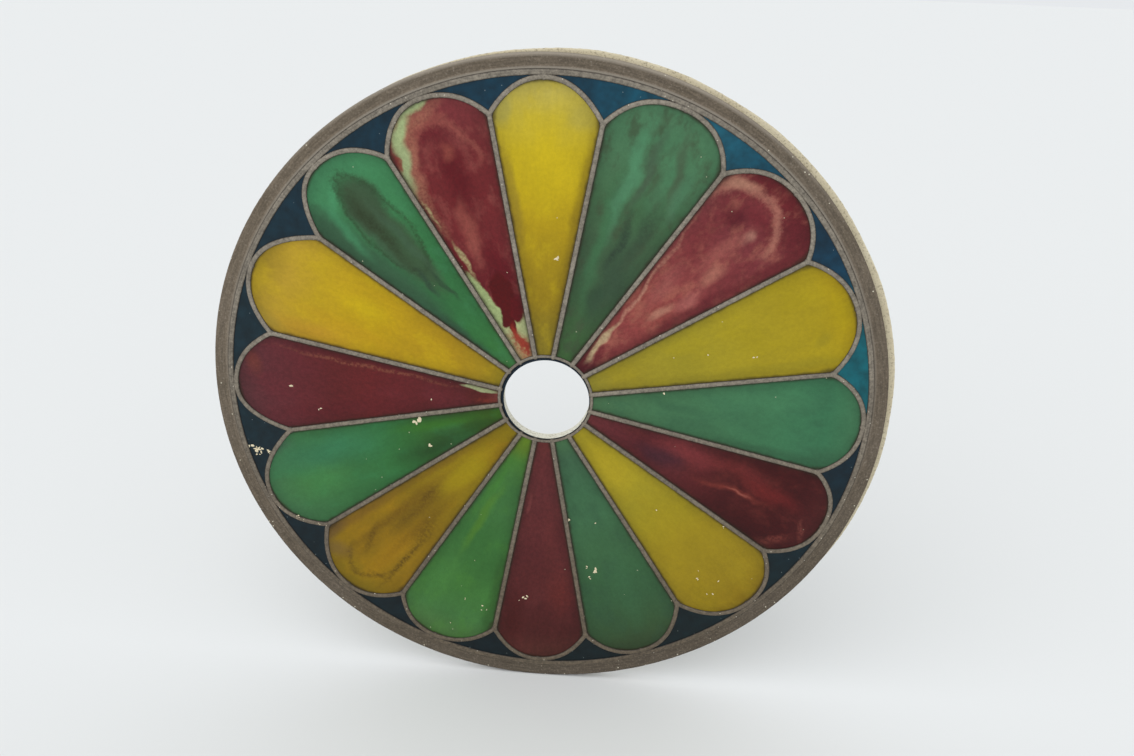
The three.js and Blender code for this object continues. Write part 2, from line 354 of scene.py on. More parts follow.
    # Behind the face: the heart that parts the panes, and the back flange, laid in longer steps
    coarse = run_of(BACK_STEP)
    heart_height = add("SUBTRACT", add("ADD", given["Flange"], HEART_BITE), given["Back flange"])
    heart_middle = add("ADD", given["Back flange"], add("MULTIPLY", heart_height, 0.5))
    heart = add(
        "GeometryNodeTransform",
        add("GeometryNodeCurvePrimitiveQuadrilateral", HEART_WIDTH, heart_height),
        Translation=add("CombineXYZ", Y=add("MULTIPLY", heart_middle, -1.0)),
    )
    back_rise = add("SUBTRACT", given["Back"], given["Back flange"])
    behind = section(6, given["Back flange"], back_rise, BACK_FULLNESS)
    joined = add("GeometryNodeJoinGeometry", grained)
    for profile in (heart, behind):
        swept = add("GeometryNodeCurveToMesh", coarse, profile, Fill_Caps=True)
        tree.links.new(swept.outputs[0], joined.inputs[0])
    whole = add("GeometryNodeRealizeInstances", joined)
    add("NodeGroupOutput", add("GeometryNodeSetMaterial", whole, Material=given["Lead"]))
    return tree


def made_by(thing, tree, **inputs):
    """The plain mesh that a Geometry Nodes tree makes of an object, which is then taken away."""
    modifier = thing.modifiers.new(tree.name, "NODES")
    modifier.node_group = tree
    sockets = {item.name: item.identifier for item in tree.interface.items_tree if item.in_out == "INPUT"}
    for name, value in inputs.items():
        modifier[sockets[name.replace("_", " ")]] = value
    evaluated = thing.evaluated_get(bpy.context.evaluated_depsgraph_get())
    mesh = bpy.data.meshes.new_from_object(evaluated)
    bpy.data.objects.remove(thing)
    return mesh


def piece_of(name, mesh, material, replaced):
    """Makes a mesh that lies face up in the window's plane the piece that stands for CAD nodes: upright,
    facing the front, and shaded smooth. Whole numbers keep its flat back exactly flat."""
    mesh.materials.append(material)
    mesh.transform(Matrix(((1, 0, 0, 0), (0, 0, -1, 0), (0, 1, 0, 0), (0, 0, 0, 1))))
    shape = bmesh.new()
    shape.from_mesh(mesh)
    bmesh.ops.recalc_face_normals(shape, faces=shape.faces)
    for face in shape.faces:
        face.smooth = True
    shape.to_mesh(mesh)
    shape.free()
    mesh.set_sharp_from_angle(angle=math.radians(50))
    piece = put(name, mesh)
    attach(piece, "root")
    if replaced:
        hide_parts(*replaced)


# Settings that many nodes share: a range with eased ends, a mix of colours, and a colour made lighter
# or darker
EASED = {"interpolation_type": "SMOOTHSTEP"}
COLOURS = {"data_type": "RGBA"}
TONED = {"operation": "SCALE"}


def crumbs(add, place, scale, size, chance, kept="GREATER_THAN"):
    """1 on small crumbs and 0 round them: one in each cell of a pattern whose own chance is kept."""
    cells = add("TexVoronoi", place, Scale=scale)
    near = add("LESS_THAN", cells, size)
    return add("MULTIPLY", near, add(kept, add("SeparateColor", cells.outputs["Color"]), chance))


def weathered_lead():
    """Cast lead came, oxidised warm grey: rough, hardly metallic, patchily rubbed paler and dark in the
    hollows of the grain. Its flanks darken toward the glass as painted shade, it is lighter toward the top
    of the window and darker toward its foot as painted light from above, and small pale specks are painted
    glints."""
    material, add = bare_material("weathered_lead_came")
    place = add("TexCoord").outputs["Object"]
    parts = add("SeparateXYZ", place).outputs
    # Painted shade: the bead's flanks darken toward the glass, which leaves the crest paler
    crest = add("MapRange", parts["Y"], -18.5 * MM, -19.7 * MM, **EASED)
    # Painted light from above: the came is lighter toward the top of the window and darker toward its foot
    raised = add("MapRange", parts["Z"], -420 * MM, 200 * MM, **EASED)
    cloud = add("TexNoise", place, Scale=1 / (70 * MM), Detail=2.0)
    grain = add("TexNoise", place, Scale=1 / (4.4 * MM), Detail=4.0, Roughness=0.8)
    lit_top_tone, shaded_foot_tone = (
        add("Mix", cloud, dull, rubbed, **COLOURS)
        for dull, rubbed in (("#6F675B", "#90887B"), ("#564C3F", "#706453"))
    )
    crest_tone = add("Mix", raised, shaded_foot_tone, lit_top_tone, **COLOURS)
    tone = add("Mix", crest, "#3A332C", crest_tone, **COLOURS)
    mottled = add("VectorMath", tone, add("MapRange", grain, 0.34, 0.66, 0.6, 1.42), **TONED)
    # Small pale specks over the lead: painted glints on the grain
    pale_glint_specks = crumbs(add, place, 1 / (5 * MM), size=0.17, chance=0.94)
    colour = add("Mix", pale_glint_specks, mottled, "#BBB3A4", **COLOURS)
    return finished(
        material, add, colour, grain, 0.5, 0.35 * MM, Metallic=0.1, Roughness=0.62, Specular_IOR_Level=0.35
    )


def lay_lead():
    lead = weathered_lead()
    runs, joints = [], []
    for index in range(PETAL_COUNT):
        runs += [[lead_foot(index), shoulder(index)], half_arch(index, index), half_arch(index, index - 1)]
        joints += [(lead_foot(index), 0.8), (shoulder(index), 1.0), (petal_tip(index), 0.9)]
    tree = came_tree()
    meshes = [
        made_by(wire("petal_leads", runs, joints), tree, Lead=lead),
        made_by(
            wire("outer_bead", [ring_line(BEAD_LINE)]), tree, Lead=lead, Width=8.0 * MM, Crest=19.6 * MM,
            Groove=0.3 * MM, Grain=0.36 * MM, Face_points=13, Step=2.0 * MM, Ribs=0.08 * MM, Seed=4,
        ),
        made_by(
            wire("hub_ring", [ring_line(HUB_LINE)]), tree, Lead=lead, Width=4.6 * MM, Crest=19.6 * MM,
            Ribs=0.0, Seed=7,
        ),
    ]
    whole = bmesh.new()
    for mesh in meshes:
        whole.from_mesh(mesh)
    lattice = bpy.data.meshes.new("lead_came")
    whole.to_mesh(lattice)
    whole.free()
    piece_of("lead_came", lattice, lead, ["came_lattice"])


lay_lead()


# --- The frame band: a flat ring of dark brown composition, cast with a pebbled face. Its outer edge
# --- stands up a little, a low ridge runs round its bore, and the rebate behind the bore holds the
# --- leaded panel.

BAND_BORE = 455.3
BAND_RADIUS = 475.0
BAND_FRONT = 18.0
BAND_BACK = 6.3
REBATE_FACE = 11.3
RIM_BORE = 446.0
EDGE_STEPS = 1400
PEBBLE_PITCH = 2.6
PEBBLE_HEIGHT = 0.22
SWELL_PITCH = 11
SWELL_HEIGHT = 0.3


def ring_mesh(name, rings):
    """A closed mesh through rings of corners, one for each step round the window."""
    count = len(rings[0])
    faces = []
    for step in range(len(rings)):
        here, there = step * count, (step + 1) % len(rings) * count
        for corner in range(count):
            after = (corner + 1) % count
            faces.append((here + corner, here + after, there + after, there + corner))
    mesh = bpy.data.meshes.new(name)
    mesh.from_pydata([corner for ring in rings for corner in ring], [], faces)
    return mesh


def turned_ring(name, steps, section_at):
    """A ring mesh in the window's plane: section_at gives, for an angle clockwise from the top, the
    closed section's corners there as (radius, height) in mm."""
    rings = []
    for degrees in (-360 * step / steps for step in range(steps)):
        section = section_at(degrees)
        rings.append([(*(polar(radius, degrees) * MM), height * MM) for radius, height in section])
    return ring_mesh(name, rings)


def evenly(start, end, count):
    """Points from start up to, and without, end."""
    return [tuple(Vector(start).lerp(Vector(end), step / count)) for step in range(count)]


def roughness_at(radius, degrees, height, pitch, seed):
    """A smooth random value from -1 to 1, for the surface of a hand-cast ring."""
    across, up = polar(radius, degrees)
    return noise.noise(Vector((across / pitch, up / pitch, height / pitch + seed)))


def band_section(degrees):
    corners = [
        *evenly((RIM_BORE, BAND_BACK), (BAND_RADIUS, BAND_BACK), 3),
        *evenly((BAND_RADIUS, BAND_BACK), (BAND_RADIUS, BAND_FRONT - 2.4), 4),
        (BAND_RADIUS - 0.1, BAND_FRONT - 2.0), (BAND_RADIUS - 0.5, BAND_FRONT - 0.9),
        (BAND_RADIUS - 1.3, BAND_FRONT - 0.25), (BAND_RADIUS - 2.4, BAND_FRONT - 0.15),
        *evenly((BAND_RADIUS - 3.8, BAND_FRONT - 0.1), (BAND_RADIUS - 9.0, BAND_FRONT - 0.5), 4),
        *evenly((BAND_RADIUS - 9.0, BAND_FRONT - 0.5), (BAND_RADIUS - 12.5, BAND_FRONT - 1.1), 3),
        *evenly((BAND_RADIUS - 12.5, BAND_FRONT - 1.1), (BAND_BORE + 4.4, BAND_FRONT - 1.1), 3),
        (BAND_BORE + 3.6, BAND_FRONT - 0.8), (BAND_BORE + 2.6, BAND_FRONT - 0.3),
        (BAND_BORE + 1.6, BAND_FRONT - 0.1), (BAND_BORE + 0.6, BAND_FRONT - 0.15),
        (BAND_BORE + 0.1, BAND_FRONT - 0.5), (BAND_BORE, BAND_FRONT - 1.6),
        (BAND_BORE, REBATE_FACE), (RIM_BORE, REBATE_FACE),
    ]
    pebbled = []
    for radius, height in corners:
        if height > BAND_FRONT - 1.9:
            grit = PEBBLE_HEIGHT * roughness_at(radius, degrees, height, PEBBLE_PITCH, 3)
            swell = SWELL_HEIGHT * roughness_at(radius, degrees, 0, SWELL_PITCH, 5)
            height += min(grit + swell, BAND_FRONT - height)
        elif radius > BAND_RADIUS - 0.2:
            radius -= 0.3 * abs(roughness_at(radius, degrees, height, 4.5, 9))
        pebbled.append((radius, height))
    return pebbled


def pebbled_composition():
    """Cast composition, painted dark brown: matt and pebbled, worn paler on the pebbles and edges, and
    nicked back to the cream body here and there. Painted light and shade: lighter toward the upper left
    and on the top of its edges, darker toward the bottom."""
    material, add = bare_material("pebbled_brown_composition")
    place = add("TexCoord").outputs["Object"]
    cloud = add("TexNoise", place, Scale=1 / (90 * MM), Detail=3.0)
    pebbles = add("TexNoise", place, Scale=1 / (PEBBLE_PITCH * MM), Detail=3.0, Roughness=0.75)
    ground = add("Mix", cloud, "#5F5445", "#706558", **COLOURS)

    # Darkest along its middle, with painted shade toward the bottom and painted light toward the left,
    # and brush marks round the ring
    parts = add("SeparateXYZ", place).outputs
    radius = add("VectorMath", add("CombineXYZ", X=parts["X"], Z=parts["Z"]), operation="LENGTH")
    angle = add("ARCTAN2", parts["X"], parts["Z"])
    wound = add("CombineXYZ", add("MULTIPLY", radius, 1 / (2.2 * MM)), add("MULTIPLY", angle, 16.0))
    brushed = add("TexNoise", wound, Scale=1.0, Detail=3.0)
    tone = 1.0
    for value, start, end, low, high in (
        (radius, 457.0 * MM, 463.0 * MM, 1.06, 0.93), (parts["Z"], -460 * MM, 200 * MM, 0.72, 1.0),
        (parts["X"], -470 * MM, 100 * MM, 1.16, 1.0),
        (brushed, 0.3, 0.7, 0.82, 1.18), (pebbles, 0.35, 0.65, 0.8, 1.16),
    ):
        tone = add("MULTIPLY", tone, add("MapRange", value, start, end, low, high, **EASED))
    ground = add("VectorMath", ground, tone, **TONED)
    worn = add("MapRange", pebbles, 0.6, 0.74)
    colour = add("Mix", worn, ground, "#877E73", **COLOURS)

    # The inner ridge is smeared with lead grey and the outer edge rubbed pale; both fade out lower down,
    # so their pale tops are partly painted highlight from light above
    for amount, start, end, low, high, rubbed in (
        (0.85, 459.5, 457.0, -150, 420, "#8E867A"), (0.65, 470.0, 474.0, 270, 440, "#A2988A"),
    ):
        for value, begin, finish in ((radius, start, end), (parts["Z"], low, high)):
            amount = add("MULTIPLY", amount, add("MapRange", value, begin * MM, finish * MM))
        colour = add("Mix", amount, colour, rubbed, **COLOURS)

    # Nicks back to the cream body, most of them along the outer edge
    edge = add("MapRange", radius, 466 * MM, 474.5 * MM, 0.03, 0.2)
    nicks = crumbs(add, place, 1 / (6 * MM), size=0.16, chance=edge, kept="LESS_THAN")
    colour = add("Mix", nicks, colour, "#C9C2AE", **COLOURS)
    return finished(material, add, colour, pebbles, 0.6, 0.4 * MM, Roughness=0.8, Specular_IOR_Level=0.3)


band = turned_ring("frame_band_cast", EDGE_STEPS, band_section)
piece_of("frame_band_cast", band, pebbled_composition(), ["frame_band"])


# --- The back rim: a flat raw cream ring that backs the frame band. Its outer edge was trimmed by
# --- hand, off centre, so it shows past the band on the right and the top.

RIM_RADIUS = 477
RIM_OFF_CENTRE = Vector((7.6, 2.5))
RIM_THICKNESS = 6.0
RIM_TRIMMED = 0.35


def rim_edge(degrees):
    """How far the trimmed edge lies from the rim's own centre."""
    angle = math.radians(degrees)
    wave = 0.7 * math.sin(5 * angle + 1) + 0.5 * math.sin(11 * angle) + 0.3 * math.sin(23 * angle)
    return RIM_RADIUS + wave - RIM_TRIMMED


def rim_ring(degrees):
    """The rim's corners at an angle. Its bore is round about the window's middle and its edge about a
    centre of its own, and a corner's place is its share of the way from the one to the other."""
    section = [
        *[(part / 3, 0.0) for part in range(3)],
        (0.985, 0.0), (1.0, 0.5), (1.0, 2.0), (1.0, 3.4), (1.0, 4.8), (0.998, 5.5), (0.985, 5.85),
        *[(part, RIM_THICKNESS) for part in (0.93, 0.87, 0.8, 0.72, 0.5, 0.0)],
    ]
    bore = polar(RIM_BORE, degrees)
    edge = polar(rim_edge(degrees), degrees) + RIM_OFF_CENTRE
    corners = []
    for part, height in section:
        flat = bore.lerp(edge, part)
        radius = flat.length
        rough = roughness_at(radius, degrees, height, 7, 2)
        rough += 0.6 * roughness_at(radius, degrees, height, 2.8, 6)
        if part > 0.95:
            flat *= 1 - (0.45 + 0.4 * rough) / radius
        elif part > 0 and height > RIM_THICKNESS - 1:
            height += min(0.25 * rough, 0)
        elif part > 0:
            height += max(0.3 * rough, 0)
        corners.append((flat.x * MM, flat.y * MM, height * MM))
    return corners


def raw_composition(name, deep, pale, lip=None):
    """Unpainted composition: chalky and rough, between a deep and a pale cream, with grey dirt in the
    pits. A lip is painted dark blue in front of a depth."""
    material, add = bare_material(name)
    place = add("TexCoord").outputs["Object"]
    cloud = add("TexNoise", place, Scale=1 / (45 * MM), Detail=3.0)
    pits = add("TexNoise", place, Scale=1 / (3.2 * MM), Detail=3.0, Roughness=0.7)
    ground = add("Mix", cloud, deep, pale, **COLOURS)
    dirty = add("MapRange", pits, 0.48, 0.34, To_Max=0.7)
    colour = add("Mix", dirty, ground, "#8C7F68", **COLOURS)
    if lip:
        depth = add("SeparateXYZ", place).outputs["Y"]
        painted = add("MapRange", depth, -lip + 0.7 * MM, -lip)
        colour = add("Mix", painted, colour, "#16232D", **COLOURS)
    return finished(material, add, colour, pits, 0.6, 0.5 * MM, Roughness=0.88, Specular_IOR_Level=0.25)


rim = ring_mesh("raw_back_rim", [rim_ring(-360 * step / EDGE_STEPS) for step in range(EDGE_STEPS)])
rim_cream = raw_composition("raw_cream_composition", "#C0B394", "#DFD6BB")
piece_of("raw_back_rim", rim, rim_cream, ["back_rim"])


# --- The centre sleeve: a thin cream tube of the same composition that lines the hole. Its bore is a
# --- little off centre, and the lip in front was painted dark blue with the border.

SLEEVE_OUTER = 63.3
SLEEVE_BORE = 60.6
SLEEVE_OFF_CENTRE = Vector((1.35, -1.65))
SLEEVE_FRONT = 17.0
SLEEVE_STEPS = 300
LIP_DEPTH = 0.6


def sleeve_section(degrees):
    """The bore's radius, as seen from the window's middle, swings with its offset."""
    toward = polar(1, degrees)
    bore = SLEEVE_BORE + SLEEVE_OFF_CENTRE.dot(toward)
    wall = SLEEVE_OUTER - bore
    corners = [
        (SLEEVE_OUTER, 0.3), (SLEEVE_OUTER, 5.0), (SLEEVE_OUTER, 11.0), (SLEEVE_OUTER, SLEEVE_FRONT - 0.5),
        (SLEEVE_OUTER - 0.1 * wall, SLEEVE_FRONT - 0.1), (SLEEVE_OUTER - 0.45 * wall, SLEEVE_FRONT - 0.05),
        (bore + 0.15 * wall, SLEEVE_FRONT - 0.1), (bore + 0.05, SLEEVE_FRONT - 0.6),
        *evenly((bore, SLEEVE_FRONT - 1.4), (bore, 0.5), 9), (bore + 0.15, 0.1), (SLEEVE_OUTER - 0.3, 0.05),
    ]
    rough = []
    for radius, height in corners:
        if radius < bore + 0.02:
            radius += 0.25 * abs(roughness_at(radius, degrees, height, 5, 8))
        rough.append((radius, height))
    return rough


sleeve = turned_ring("hole_sleeve", SLEEVE_STEPS, sleeve_section)
sleeve_cream = raw_composition("raw_cream_sleeve", "#C8C5B2", "#E2E0D4", (SLEEVE_FRONT - LIP_DEPTH) * MM)
piece_of("hole_sleeve", sleeve, sleeve_cream, ["centre_sleeve"])


# --- The petals: hand-rolled opal glass, cut to shape and laid in the lead. Colour was worked into
# --- each sheet while it was soft, so every pane has its own clouds, streaks and stains, and a satin
# --- face, darkened along the lead by painted shade with a little dirt.


def blot(colour, across, out, half_across, half_out, lean=0, strength=0.7, soft=0.5, dotted=0.0):
    """A stain in a petal: an oval about a point across and out along the petal (mm), leaning clockwise."""
    return {
        "colour": colour, "place": (across, out), "half": (half_across, half_out), "lean": lean,
        "strength": strength, "soft": soft, "dotted": dotted, "line": 0,
    }


def loop(colour, across, out, half_across, half_out, line, above=0, strength=0.7, dotted=0.0):
    """A stain that follows an oval's outline, as wide as its line (mm), above a distance from the hub."""
    stain = blot(colour, across, out, half_across, half_out, 0, strength, 0.5, dotted)
    return {**stain, "line": line, "above": above}


# How far from the hub (mm) most petals have their tones, the same where the second comes a little
# later, and the end of the ramp that they are set on
TONE_PLACES = (67, 100, 150, 200, 250, 300, 350, 395, 430)
LATER_TONES = (67, 110, *TONE_PLACES[2:])
TONED_OUT = 450.0


def toned(colours, *places):
    """A petal's tones from the hub to the tip: (distance out in mm, colour)."""
    return list(zip(places or TONE_PLACES, colours.split()))


# For each petal: its tones, how far the clouds wander (mm), the clouds themselves (colour, strength,
# size in mm), and its stains in the order they lie over each other
PETAL_GLASS = {
    "petal_01_yellow": (
        toned("#84742A #867428 #917922 #9B8222 #AA8F21 #B79E22 #BCA526 #BBA838 #B5A650"), 5,
        ("#C4AC22", 0.3, 34),
        [blot("#8A7530", -46, 288, 10, 66, -10, 0.5), blot("#806A22", 42, 250, 9, 150, 9.5, 0.5),
         blot("#A0954C", 46, 396, 18, 16, 0, 0.5), blot("#A09A58", -58, 402, 12, 22, 10, 0.5),
         blot("#C8AF22", 2, 330, 20, 56, 0, 0.4)],
    ),
    "petal_02_green": (
        toned("#41603A #415F3C #3F5A3E #3F563F #425B42 #456647 #496E4F #4B7454 #4E7757"), 9,
        ("#43503C", 0.7, 22),
        [blot("#528763", -24, 340, 9, 76, -3, 0.75, 0.7), blot("#475846", -6, 352, 6, 50, 0, 0.75, 0.7),
         blot("#4F805C", 19, 360, 10, 40, 0, 0.6, 0.7), blot("#4A5A45", 33, 366, 7, 46, -12, 0.75, 0.8),
         blot("#4E7A5B", 46, 340, 8, 34, 6, 0.55, 0.7), blot("#344236", 1, 246, 6, 40, 0, 0.85, 0.7, 0.3),
         blot("#374638", 26, 280, 9, 34, 4, 0.6, 0.8, 0.3), blot("#3A4C3C", 16, 200, 15, 56, 4, 0.65, 0.8),
         blot("#426C4A", -24, 245, 8, 80, -8, 0.7, 0.7), blot("#334738", 3, 160, 9, 24, 0, 0.5, 0.8)],
    ),
    "petal_03_burgundy": (
        toned("#58282B #6C3234 #84403F #884540 #834140 #7C3C3D #74383B #713437 #63282C"), 7,
        ("#A06354", 0.5, 17),
        [blot("#5E272C", 48, 408, 22, 20, -35, 0.75), blot("#65292D", 62, 350, 10, 60, 8, 0.6),
         blot("#65292D", -6, 434, 40, 8, 0, 0.6), blot("#56232A", -26, 366, 15, 13, 0, 0.85, 0.7),
         blot("#672B30", 2, 386, 28, 9, 0, 0.75, 0.7), blot("#692D31", -34, 322, 14, 54, -8, 0.6, 0.8),
         blot("#6C3034", 34, 320, 10, 50, 6, 0.5, 0.8), loop("#A36C5E", -15, 362, 53, 51, 12, 345, 0.68),
         blot("#AC7C68", -52, 400, 7, 22, 52, 0.75, 0.8), blot("#B08070", 6, 362, 5, 7, 0, 0.65, 0.9),
         blot("#9A5A52", -2, 328, 7, 34, 6, 0.6, 0.9), blot("#A66C5D", 13, 292, 9, 17, 0, 0.7, 0.8),
         blot("#A0605A", 20, 244, 8, 20, 0, 0.6, 0.8), blot("#AF7C69", 10, 206, 5, 16, 8, 0.7, 0.8),
         blot("#9A5A55", -16, 232, 9, 34, -12, 0.45, 0.9), blot("#5E272D", 36, 232, 8, 72, 9.5, 0.75, 0.6),
         blot("#67292E", -36, 226, 4, 40, -14, 0.6, 0.6),
         blot("#B07C6A", -28, 200, 2.4, 100, -14.5, 0.8, 0.8, 0.5),
         blot("#B8A27E", -10, 117, 4.4, 32, -11, 0.95, 0.45, 0.25), blot("#4E2328", 6, 76, 9, 16, 0, 0.7)],
    ),
    "petal_04_yellow": (
        toned("#8A8030 #93852D #988B2C #9E8D28 #A28E24 #A58D1F", 67, 100, 200, 300, 395, 430), 4,
        ("#A8961F", 0.25, 40),
        [blot("#8A7D28", 31, 391, 14, 7, 60, 0.4), blot("#8C8029", 48, 300, 8, 120, 9, 0.4),
         blot("#A8931F", -5, 425, 30, 14, 0, 0.5)],
    ),
    "petal_05_green": (
        toned("#4A6D4C #47704F #44704F #407150 #3E7050 #437050", 67, 150, 250, 350, 395, 430), 6,
        ("#3A6048", 0.4, 34),
        [blot("#3A5C44", 56, 398, 16, 24, 0, 0.6, 0.8), blot("#3C6147", -4, 189, 6, 42, 15, 0.6, 0.8),
         blot("#3E6348", 18, 207, 8, 42, 12, 0.6, 0.8), blot("#3B5C44", 50, 320, 7, 70, 9, 0.5, 0.8),
         blot("#3C674A", 0, 418, 14, 8, 0, 0.5), blot("#4A7D58", -25, 300, 16, 60, -6, 0.4, 0.8)],
    ),
    "petal_06_burgundy": (
        toned("#683436 #602F32 #54292C #5C2D2F #542829 #472324 #452222 #422122 #4A2626", *LATER_TONES), 8,
        ("#6A332F", 0.35, 24),
        [blot("#3E2021", 46, 348, 19, 60, 6, 0.75, 0.8), blot("#422021", -50, 345, 13, 60, -8, 0.65, 0.8),
         blot("#702C2B", -13, 350, 11, 40, 4, 0.6, 0.9), blot("#703130", -23, 280, 8, 56, -6, 0.5, 0.9),
         blot("#7C3A33", 8, 300, 4, 42, -5, 0.6, 0.9), blot("#A05C50", 8, 308, 1.6, 14, -4, 0.6, 0.9),
         blot("#763638", -15, 214, 14, 40, -4, 0.7, 0.8), blot("#412930", 6, 184, 12, 32, 0, 0.8, 0.8),
         blot("#844840", 22, 425, 4, 15, 65, 0.5, 0.9, 0.6),
         blot("#80443C", 54, 394, 5, 20, -35, 0.5, 0.9, 0.6)],
    ),
    "petal_07_yellow": (
        toned("#988A2A #9E8E28 #A4932A #988A2A #968626 #968225 #937E25 #907A24 #876F20", *LATER_TONES), 4,
        ("#A08C28", 0.25, 40),
        [blot("#A8952A", 0, 140, 14, 40, 0, 0.5), blot("#86741F", 40, 395, 16, 24, 0, 0.4, 0.8)],
    ),
    "petal_08_green": (
        toned("#4B704C #43644A #42684A #436A4A #406444 #3D6041 #3B5A3E #3B5439 #3A4A33"), 4,
        ("#385440", 0.35, 30),
        [blot("#394A34", 8, 430, 40, 14, 0, 0.5), blot("#406546", -8, 330, 14, 60, 0, 0.4, 0.8)],
    ),
    "petal_09_burgundy": (
        toned("#6A3634 #603132 #5C3031 #5A2E2F #562C2D #562C2C #512A2A #4C2928 #52302C"), 4,
        ("#663534", 0.3, 34),
        [blot("#6C322E", -30, 322, 14, 30, 0, 0.45, 1.0), blot("#41201F", 44, 375, 16, 40, 0, 0.55, 0.9),
         blot("#7A4240", 20, 171, 2.5, 16, 10, 0.5), blot("#60302F", -14, 240, 12, 60, -4, 0.4, 0.8)],
    ),
    "petal_10_green": (
        toned("#66802A #5C782E #497538 #406B3D #406B3D #3D6A39 #3D6938 #43713B #457040 #4B6E40",
              67, 85, 110, 150, 200, 250, 300, 350, 395, 430), 5,
        ("#4C7F3A", 0.35, 36),
        [blot("#527C30", 13, 222, 6, 52, 8, 0.7, 0.8), blot("#4A8038", 17, 165, 5, 50, 10, 0.5, 0.8),
         blot("#38592F", -56, 350, 9, 80, -9, 0.6, 0.8), blot("#4A7A42", 30, 330, 16, 50, 0, 0.4, 0.8)],
    ),
    "petal_11_yellow": (
        toned("#84711F #87711F #8E781F #8A7320 #846B20 #866A20 #8A6C21 #856920 #7E6820", *LATER_TONES), 3,
        ("#96731F", 0.5, 30),
        [blot("#A0771F", -20, 345, 13, 52, 0, 0.55, 0.8), blot("#6A5220", 4, 272, 19, 58, 0, 0.7, 0.9, 0.2),
         blot("#664C1D", 22, 315, 6, 84, 3, 0.65, 1.0, 0.3),
         blot("#6A501E", -20, 290, 6, 62, 0, 0.5, 1.0, 0.4),
         blot("#5E481C", 3, 262, 5, 50, 2, 0.5, 0.9, 0.5), blot("#574219", 9, 236, 4, 20, 0, 0.7, 0.9, 0.4),
         blot("#54401A", 18, 356, 4, 20, -25, 0.65, 0.9, 0.5),
         blot("#664E1E", 12, 370, 7, 26, 0, 0.5, 1.0, 0.3),
         blot("#4E3C18", -43, 352, 4, 46, -4, 0.75, 0.9, 0.7),
         blot("#57441C", -34, 397, 3, 14, 70, 0.5, 1.0, 0.6),
         blot("#58441B", -31, 290, 9, 28, -10, 0.6, 1.0, 0.6),
         loop("#5A461C", -4, 356, 40, 62, 4.5, 372, 0.7, 0.5),
         blot("#6A5538", 45, 411, 12, 22, 62, 0.55, 0.8), blot("#5C4A38", 66, 385, 8, 26, 0, 0.6, 0.8),
         blot("#74562A", 56, 330, 7, 70, 9, 0.5, 0.8), blot("#785A26", 30, 185, 5, 60, 10, 0.5, 0.8),
         blot("#98861F", -3, 165, 13, 50, 0, 0.6)],
    ),
    "petal_12_green": (
        toned("#3E6427 #3D5A27 #3A5A2C #395C32 #396434 #38693A #396D3F #3B6B40 #3E6C42 #406B45 #426B48",
              67, 90, 120, 150, 190, 215, 250, 300, 350, 395, 430), 7,
        ("#3B784C", 0.35, 34),
        [blot("#3C7656", 30, 335, 24, 70, 5, 0.6, 0.9), blot("#4A8248", -14, 372, 22, 44, 0, 0.5, 0.9),
         blot("#2C442A", -15, 182, 14, 48, -6, 0.75, 1.0), blot("#3F722C", 16, 160, 8, 46, 8, 0.6, 0.8),
         blot("#2F4C28", -7, 112, 9, 26, 0, 0.55, 0.8), blot("#46584E", 62, 400, 10, 18, 0, 0.5, 0.8)],
    ),
    "petal_13_burgundy": (
        toned("#74403A #5A2A28 #56292A #602A2C #622A2B #5C2A2B #5E2D30 #5E3135 #573336",
              67, 85, 120, 200, 250, 300, 350, 395, 430), 5,
        ("#683035", 0.4, 36),
        [blot("#7A4034", 32, 418, 8, 18, 70, 0.45, 0.9),
         blot("#8A5443", 33, 250, 2.6, 96, 10, 0.65, 0.9, 0.85),
         blot("#4E2226", 42, 250, 4, 100, 10, 0.5, 0.7), blot("#56262A", -35, 300, 10, 80, -8, 0.4, 0.8),
         blot("#A3A97E", 11, 94, 3.8, 24, 9, 0.95, 0.25), blot("#8A4034", -6, 84, 4, 14, 0, 0.5, 0.7, 0.6)],
    ),
    "petal_14_yellow": (
        toned("#8E7B24 #9C8124 #A68522 #AC8B22 #B39220 #B59522 #B59727 #B09132 #9D832D"), 5,
        ("#C4A81C", 0.3, 40),
        [blot("#B08030", -54, 338, 15, 50, -9, 0.55, 0.9), blot("#B28826", -26, 300, 9, 62, 0, 0.35, 0.9),
         blot("#C8AE18", 13, 279, 12, 30, 0, 0.5, 0.9), blot("#8C7E3A", -62, 398, 9, 22, 12, 0.4, 0.8)],
    ),
    "petal_15_green": (
        toned("#3E6C38 #3C703D #396D40 #396C41 #397044 #3C7348 #407A4F #437E54 #437A54"), 6,
        ("#47835A", 0.3, 28),
        [blot("#395440", -52, 330, 20, 92, -4, 0.95, 0.5), blot("#3B5641", -44, 262, 20, 96, -10, 0.9, 0.6),
         blot("#3D6045", -32, 300, 22, 80, -6, 0.6, 0.9), blot("#3A5440", -22, 150, 7, 50, -8, 0.85, 0.7),
         blot("#3E644A", -34, 190, 7, 50, -10, 0.6, 0.8), blot("#488A60", -39, 360, 5, 40, 2, 0.6, 1.0),
         blot("#4A8A60", -22, 400, 5, 22, 48, 0.7, 0.8), blot("#3E4F3B", 6, 366, 27, 42, 0, 0.88, 0.3),
         blot("#40513C", 3, 302, 23, 88, 0, 0.85, 0.3), loop("#333F2D", 5, 330, 29, 84, 5, 230, 0.6, 0.4),
         blot("#353F2D", -4, 338, 9, 56, 2, 0.85, 0.8, 0.3), blot("#46604A", 14, 300, 5, 52, 0, 0.5, 0.8),
         blot("#425E46", -16, 310, 4, 44, 0, 0.5, 0.8), blot("#35483A", -7, 232, 4, 24, 0, 0.75, 0.7, 0.2),
         blot("#354A38", 10, 218, 3.5, 26, -4, 0.8, 0.6, 0.2)],
    ),
    "petal_16_burgundy": (
